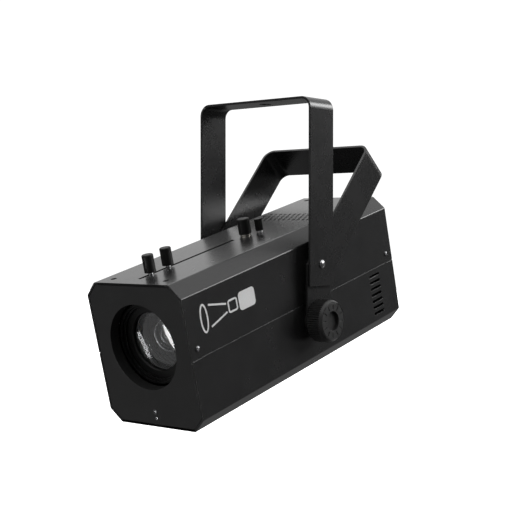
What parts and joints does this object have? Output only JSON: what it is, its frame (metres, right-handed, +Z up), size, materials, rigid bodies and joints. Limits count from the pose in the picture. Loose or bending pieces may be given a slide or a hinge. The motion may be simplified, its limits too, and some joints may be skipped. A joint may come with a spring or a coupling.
{
  "type": "ellipsoidal spotlight",
  "caption": "Compact black profile spotlight with sliding focus and zoom lenses, a rotating pattern wheel and a double hanging and floor yoke.",
  "frame": {"origin": "centre of the clamp hole, on the top face of the hanging yoke", "axes": "+Z up along the clamp hole, +Y from the lens towards the rear plate, the lens looks towards -Y"},
  "size_m": [0.1758, 0.3616, 0.3201],
  "materials": {
    "yoke_paint": "black powder coat, fine texture",
    "shell_paint": "black powder coat, fine texture",
    "plate_paint": "black powder coat, fine texture",
    "knob_black": "moulded black plastic",
    "clamp_black": "moulded black plastic with ribs",
    "screw_steel": "zinc plated",
    "black_screw": "black oxide",
    "bright_steel": "ground steel",
    "bronze": "sintered bronze",
    "black_alloy": "black anodised",
    "bare_alloy": "mill finish",
    "lens_glass": "polished, coated",
    "white_ink": "screen print",
    "black_nylon": "black nylon",
    "wheel_plastic": "moulded acetal",
    "board_green": "solder mask",
    "lamp_yellow": "phosphor",
    "fan_black": "moulded plastic",
    "component_black": "moulded cases and tape",
    "lead_sleeve": "insulation",
    "inlet_black": "moulded plastic",
    "nickel": "nickel plated",
    "fuse_glass": "glass tube"
  },
  "bodies": {
    "hanging_yoke": {"hanging_yoke": "yoke_paint", "yoke_pivot_washers": "black_nylon"},
    "floor_yoke": {"floor_yoke": "yoke_paint", "yoke_pivot_screws": "screw_steel", "yoke_pivot_nuts": "screw_steel"},
    "housing": {"top_cover": "shell_paint", "bottom_pan": "shell_paint", "front_plate": "plate_paint", "rear_plate": "plate_paint", "domed_screws": "black_screw", "sunk_screws": "black_screw", "tilt_inserts": "bright_steel", "tilt_spacers": "black_nylon", "guide_rods": "bright_steel", "rod_blocks": "black_alloy", "gate_plate": "black_alloy", "gobo_cassette": "black_alloy", "gobo_keepers": "bright_steel", "gobo_knob_bush": "nickel", "condenser_holder": "black_alloy", "condenser_lens": "lens_glass", "led_board": "board_green", "led_emitter": "lamp_yellow", "heat_sink": "bare_alloy", "sink_bracket": "bare_alloy", "fan_frame": "fan_black", "power_supply_board": "board_green", "power_supply_parts": "component_black", "board_standoffs": "nickel", "lamp_leads": "lead_sleeve", "mains_leads": "lead_sleeve", "inlet_housing": "inlet_black", "inlet_pins": "nickel", "safety_eye": "screw_steel"},
    "clamp_right": {"clamp_knob_right": "clamp_black", "clamp_stud_right": "bright_steel"},
    "clamp_left": {"clamp_knob_left": "clamp_black", "clamp_stud_left": "bright_steel"},
    "clamp_washer_right": {"clamp_washer_right": "black_nylon"},
    "clamp_washer_left": {"clamp_washer_left": "black_nylon"},
    "focus_carriage": {"focus_carrier": "black_alloy", "focus_lens": "lens_glass", "focus_lens_ring": "black_alloy", "focus_bushes": "bronze"},
    "focus_lock": {"focus_knob": "knob_black"},
    "zoom_carriage": {"zoom_carrier": "black_alloy", "zoom_lens": "lens_glass", "zoom_lens_ring": "black_alloy", "zoom_bushes": "bronze"},
    "zoom_lock": {"zoom_knob": "knob_black"},
    "gobo_wheel": {"gobo_ring": "wheel_plastic", "gobo": "bright_steel", "gobo_spring_ring": "bright_steel"},
    "gobo_control": {"gobo_pinion": "wheel_plastic", "gobo_shaft": "bright_steel", "gobo_knob": "knob_black"},
    "gate_screw": {"gate_thumbscrew": "knob_black"},
    "fan_rotor": {"fan_impeller": "fan_black"},
    "fuse_tray": {"fuse_drawer": "inlet_black", "fuse_link": "fuse_glass"}
  },
  "joints": [
    {"name": "yoke_swing", "type": "hinge", "parent": "hanging_yoke", "child": "floor_yoke", "pos_m": [0, 0, -0.168], "axis": [1, 0, 0], "range_deg": [-45, 40.9]},
    {"name": "housing_tilt", "type": "hinge", "parent": "floor_yoke", "child": "housing", "pos_m": [0, 0, -0.225], "axis": [1, 0, 0], "range_deg": [-60, 75]},
    {"name": "clamp_right_travel", "type": "slide", "parent": "housing", "child": "clamp_washer_right", "axis": [1, 0, 0], "range_m": [0, 0.0026]},
    {"name": "clamp_right_turn", "type": "hinge", "parent": "clamp_washer_right", "child": "clamp_right", "pos_m": [0.078, 0, -0.225], "axis": [1, 0, 0], "range_deg": [0, 720]},
    {"name": "clamp_left_travel", "type": "slide", "parent": "housing", "child": "clamp_washer_left", "axis": [-1, 0, 0], "range_m": [0, 0.0026]},
    {"name": "clamp_left_turn", "type": "hinge", "parent": "clamp_washer_left", "child": "clamp_left", "pos_m": [-0.078, 0, -0.225], "axis": [-1, 0, 0], "range_deg": [0, 720]},
    {"name": "focus_slide", "type": "slide", "parent": "housing", "child": "focus_carriage", "axis": [0, 0.9659, 0.2588], "range_m": [-0.012, 0.008]},
    {"name": "focus_lock_turn", "type": "hinge", "parent": "focus_carriage", "child": "focus_lock", "pos_m": [-0.0025, -0.16874, -0.16669], "axis": [0, -0.2588, 0.9659], "range_deg": [0, 540]},
    {"name": "zoom_slide", "type": "slide", "parent": "housing", "child": "zoom_carriage", "axis": [0, 0.9659, 0.2588], "range_m": [0, 0.075]},
    {"name": "zoom_lock_turn", "type": "hinge", "parent": "zoom_carriage", "child": "zoom_lock", "pos_m": [-0.0025, -0.14498, -0.16032], "axis": [0, -0.2588, 0.9659], "range_deg": [0, 540]},
    {"name": "gobo_knob_turn", "type": "hinge", "parent": "housing", "child": "gobo_control", "pos_m": [0, -0.0338, -0.13053], "axis": [0, -0.2588, 0.9659], "continuous": true},
    {"name": "gobo_wheel_spin", "type": "hinge", "parent": "housing", "child": "gobo_wheel", "pos_m": [0, -0.00738, -0.19747], "axis": [0, 0.9659, 0.2588], "continuous": true},
    {"name": "gate_screw_turn", "type": "hinge", "parent": "housing", "child": "gate_screw", "pos_m": [0.008, -0.02015, -0.12894], "axis": [0, -0.2588, 0.9659], "range_deg": [0, 720]},
    {"name": "fan_spin", "type": "hinge", "parent": "housing", "child": "fan_rotor", "pos_m": [0, 0.08728, -0.17211], "axis": [0, 0.9659, 0.2588], "continuous": true},
    {"name": "fuse_drawer_slide", "type": "slide", "parent": "housing", "child": "fuse_tray", "axis": [0, 0.9659, 0.2588], "range_m": [0, 0.018]}
  ],
  "couplings": [
    {"joint": "clamp_right_travel", "follows": "clamp_right_turn", "m_per_rad": 0.00019894},
    {"joint": "clamp_left_travel", "follows": "clamp_left_turn", "m_per_rad": 0.00019894},
    {"joint": "gobo_knob_turn", "follows": "gobo_wheel_spin", "ratio": -5}
  ]
}
